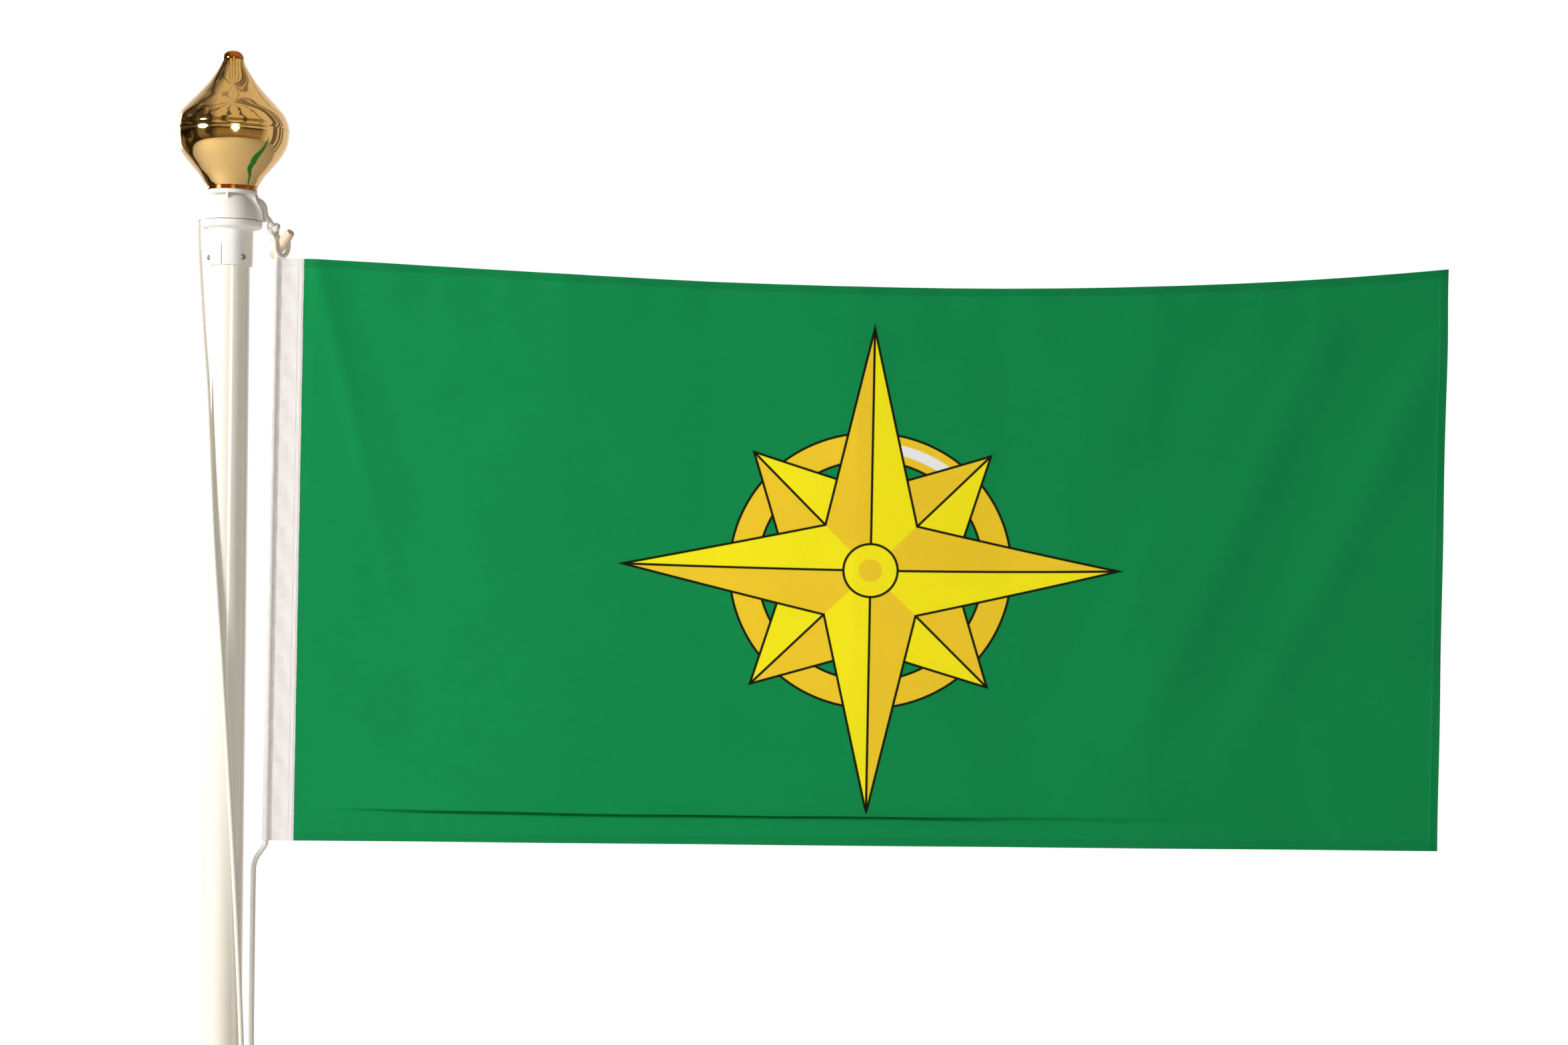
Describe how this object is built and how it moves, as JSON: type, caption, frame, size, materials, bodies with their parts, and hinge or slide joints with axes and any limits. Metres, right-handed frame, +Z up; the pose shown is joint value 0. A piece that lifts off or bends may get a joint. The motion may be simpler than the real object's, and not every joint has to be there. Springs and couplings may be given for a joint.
{
  "type": "flag on flagpole",
  "caption": "Rectangular cloth flag on a short white fibreglass flagpole with a turning truck, gilded onion finial, halyard, cleat and tilting foot.",
  "frame": {"origin": "centre of the ground plate's underside, on the pole's axis", "axes": "+Z up along the pole, +X the way the flag flies, +Y the side the pole is lowered to"},
  "size_m": [2.041, 0.32, 2.75],
  "materials": {
    "galvanised_steel": "hot-dip galvanised, matt",
    "cast_aluminium": "cast and tumbled, satin",
    "stainless_steel": "bright, slightly tarnished",
    "gelcoat": "glossy white gelcoat on fibreglass",
    "truck_plastic": "moulded white nylon, semi-gloss",
    "acetal": "turned acetal",
    "gilt_plastic": "metallised, mirror-bright pale gold",
    "amber_plastic": "metallised, deep amber",
    "halyard_braid": "white braided polyester",
    "beech": "bare sanded beech",
    "canvas": "white cotton canvas",
    "flag_cloth": "green woven polyester, printed"
  },
  "bodies": {
    "base": {"ground_plate": "galvanised_steel", "cheek_left": "galvanised_steel", "cheek_right": "galvanised_steel", "hinge_bolt": "galvanised_steel", "hinge_nut": "galvanised_steel"},
    "pole": {"pole_foot": "cast_aluminium", "lock_bolt": "galvanised_steel", "lock_nut": "galvanised_steel", "pole_tube": "gelcoat", "cleat": "cast_aluminium", "cleat_screw_upper": "stainless_steel", "cleat_screw_lower": "stainless_steel", "cleat_turns": "halyard_braid", "truck_collar": "truck_plastic", "collar_screw_1": "stainless_steel", "collar_screw_2": "stainless_steel", "collar_screw_3": "stainless_steel", "thrust_washer": "acetal", "spindle_bolt": "stainless_steel", "spindle_nut": "stainless_steel", "left_fall": "halyard_braid", "lower_fall": "halyard_braid"},
    "truck": {"housing_front": "truck_plastic", "housing_rear": "truck_plastic", "sheave_pin_left": "stainless_steel", "sheave_pin_right": "stainless_steel", "halyard_over_truck": "halyard_braid", "finial_stud": "stainless_steel", "finial_base_ring": "amber_plastic", "finial_lower_shell": "gilt_plastic", "finial_upper_shell": "gilt_plastic", "finial_tip": "amber_plastic", "upper_rope": "halyard_braid", "upper_fall": "halyard_braid"},
    "left_sheave": {"sheave_left": "acetal"},
    "right_sheave": {"sheave_right": "acetal"},
    "flag": {"eye_knot": "halyard_braid", "eye_loop": "halyard_braid", "toggle": "beech", "hoist_band": "canvas", "hoist_rope": "halyard_braid", "flag_cloth": "flag_cloth"}
  },
  "joints": [
    {"name": "pole_tilt", "type": "hinge", "parent": "base", "child": "pole", "pos_m": [0, 0, 0.08], "axis": [-1, 0, 0], "range_deg": [0, 85]},
    {"name": "truck_swivel", "type": "hinge", "parent": "pole", "child": "truck", "pos_m": [0, 0, 2.486], "axis": [0, 0, 1], "range_deg": [-180, 180], "deforming": ["left_fall", "lower_fall"]},
    {"name": "flag_hoist", "type": "slide", "parent": "truck", "child": "flag", "axis": [0, 0, 1], "range_m": [-0.42, 0], "deforming": ["upper_fall", "upper_rope"]},
    {"name": "left_sheave_spin", "type": "hinge", "parent": "truck", "child": "left_sheave", "pos_m": [-0.0352, 0, 2.5035], "axis": [0, 1, 0], "range_deg": [0, 1470]},
    {"name": "right_sheave_spin", "type": "hinge", "parent": "truck", "child": "right_sheave", "pos_m": [0.0352, 0, 2.5035], "axis": [0, 1, 0], "range_deg": [0, 1470]}
  ],
  "couplings": [
    {"joint": "left_sheave_spin", "follows": "flag_hoist", "rad_per_m": -60.606},
    {"joint": "right_sheave_spin", "follows": "flag_hoist", "rad_per_m": -60.606}
  ]
}
